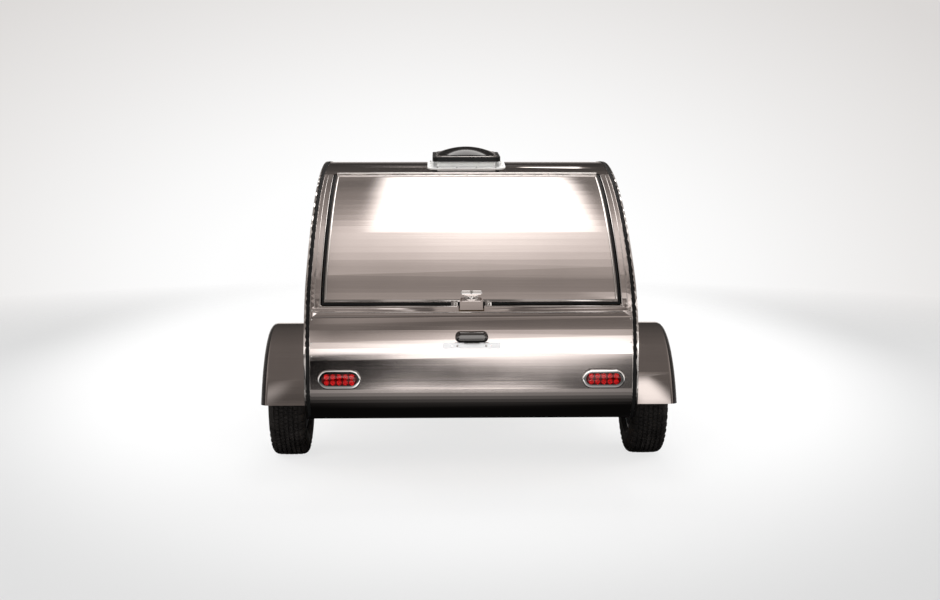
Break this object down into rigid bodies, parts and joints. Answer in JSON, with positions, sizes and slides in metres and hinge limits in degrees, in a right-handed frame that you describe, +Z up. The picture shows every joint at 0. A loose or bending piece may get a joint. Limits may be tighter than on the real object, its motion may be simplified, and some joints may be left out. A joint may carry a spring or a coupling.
{
  "type": "teardrop trailer",
  "caption": "Teardrop camping trailer with a curved rear galley hatch, side doors, roof vent, round fenders, a single axle and a tongue jack.",
  "frame": {"origin": "on the floor under the middle of the whole trailer, from the licence lamp to the coupler's lip", "axes": "+Y forwards to the coupler, +X to the right, +Z up"},
  "size_m": [2.03, 3.799, 1.5924],
  "materials": {
    "skin": "brushed",
    "bright_trim": "polished",
    "hinge_metal": "satin",
    "black_rubber": "matt",
    "window_frame": "satin",
    "window_glass": "tinted",
    "board": "varnished",
    "mattress_cloth": "woven",
    "frame_paint": "satin",
    "zinc": "zinc plated",
    "strut_paint": "satin",
    "drum_iron": "as cast",
    "rim_paint": "silver paint",
    "tyre": "matt",
    "red_lens": "clear red",
    "vent_white": "moulded",
    "vent_black": "moulded",
    "vent_smoke": "smoked"
  },
  "bodies": {
    "trailer": {"roof_shell": "skin", "tail_panel": "skin", "side_wall_left": "skin", "side_wall_right": "skin", "hatch_surround": "skin", "fender_left": "skin", "fender_right": "skin", "edge_trims": "bright_trim", "edge_inserts": "black_rubber", "door_trims": "bright_trim", "door_hinge_leaves": "hinge_metal", "hatch_hinge_roof_leaf": "hinge_metal", "licence_lamp": "bright_trim", "plate_bracket": "bright_trim", "tail_lamp_bezels": "bright_trim", "tail_lamp_lenses": "red_lens", "floor": "board", "bulkheads": "board", "galley_counter": "board", "galley_cabinet": "board", "mattress": "mattress_cloth", "chassis": "frame_paint", "axle": "frame_paint", "coupler": "zinc", "jack_bracket": "frame_paint", "strut_feet": "zinc", "vent_base": "vent_white"},
    "hatch": {"hatch_panel": "skin", "hatch_gasket": "black_rubber", "hatch_hinge_leaf": "hinge_metal", "hatch_handle": "bright_trim", "hatch_studs": "zinc"},
    "vent_lid": {"vent_lid": "vent_black", "vent_dome": "vent_smoke"},
    "jack_tube": {"jack_tube": "zinc"},
    "jack_leg": {"jack_leg": "zinc"},
    "door_left": {"door_left": "skin", "door_window_left": "window_frame", "door_glass_left": "window_glass", "door_fittings_left": "bright_trim"},
    "wheel_left": {"hub_left": "drum_iron", "rim_left": "rim_paint", "tyre_left": "tyre"},
    "strut_cylinder_left": {"strut_cylinder_left": "strut_paint"},
    "strut_rod_left": {"strut_rod_left": "zinc"},
    "door_right": {"door_right": "skin", "door_window_right": "window_frame", "door_glass_right": "window_glass", "door_fittings_right": "bright_trim"},
    "wheel_right": {"hub_right": "drum_iron", "rim_right": "rim_paint", "tyre_right": "tyre"},
    "strut_cylinder_right": {"strut_cylinder_right": "strut_paint"},
    "strut_rod_right": {"strut_rod_right": "zinc"}
  },
  "joints": [
    {"name": "hatch_hinge", "type": "hinge", "parent": "trailer", "child": "hatch", "pos_m": [0, -0.92406, 1.45219], "axis": [-1, 0, 0], "range_deg": [0, 60]},
    {"name": "vent_lid_hinge", "type": "hinge", "parent": "trailer", "child": "vent_lid", "pos_m": [0, -0.41348, 1.54663], "axis": [-1, 0, 0], "range_deg": [0, 75]},
    {"name": "door_hinge_left", "type": "hinge", "parent": "trailer", "child": "door_left", "pos_m": [-0.771, 0.1265, 0.845], "axis": [0, 0, -1], "range_deg": [0, 110]},
    {"name": "wheel_spin_left", "type": "hinge", "parent": "trailer", "child": "wheel_left", "pos_m": [-0.912, -1.0435, 0.3075], "axis": [1, 0, 0], "continuous": true},
    {"name": "strut_foot_left", "type": "hinge", "parent": "trailer", "child": "strut_cylinder_left", "pos_m": [-0.655, -0.9385, 1.1], "axis": [-1, 0, 0], "range_deg": [0, 13.55]},
    {"name": "strut_slide_left", "type": "slide", "parent": "strut_cylinder_left", "child": "strut_rod_left", "axis": [0, -0.5847, 0.8113], "range_m": [0, 0.2003]},
    {"name": "door_hinge_right", "type": "hinge", "parent": "trailer", "child": "door_right", "pos_m": [0.771, 0.1265, 0.845], "axis": [0, 0, 1], "range_deg": [0, 110]},
    {"name": "wheel_spin_right", "type": "hinge", "parent": "trailer", "child": "wheel_right", "pos_m": [0.912, -1.0435, 0.3075], "axis": [1, 0, 0], "continuous": true},
    {"name": "strut_foot_right", "type": "hinge", "parent": "trailer", "child": "strut_cylinder_right", "pos_m": [0.655, -0.9385, 1.1], "axis": [-1, 0, 0], "range_deg": [0, 13.55]},
    {"name": "strut_slide_right", "type": "slide", "parent": "strut_cylinder_right", "child": "strut_rod_right", "axis": [0, -0.5847, 0.8113], "range_m": [0, 0.2003]},
    {"name": "jack_swing", "type": "hinge", "parent": "trailer", "child": "jack_tube", "pos_m": [-0.128, 1.3165, 0.284], "axis": [-1, 0, 0], "range_deg": [0, 90]},
    {"name": "jack_raise", "type": "slide", "parent": "jack_tube", "child": "jack_leg", "axis": [0, 0, 1], "range_m": [0, 0.18]}
  ],
  "couplings": [
    {"joint": "strut_foot_left", "follows": "hatch_hinge", "ratio": 0.22501},
    {"joint": "strut_slide_left", "follows": "hatch_hinge", "m_per_rad": 0.19076},
    {"joint": "strut_foot_right", "follows": "hatch_hinge", "ratio": 0.22501},
    {"joint": "strut_slide_right", "follows": "hatch_hinge", "m_per_rad": 0.19076}
  ]
}
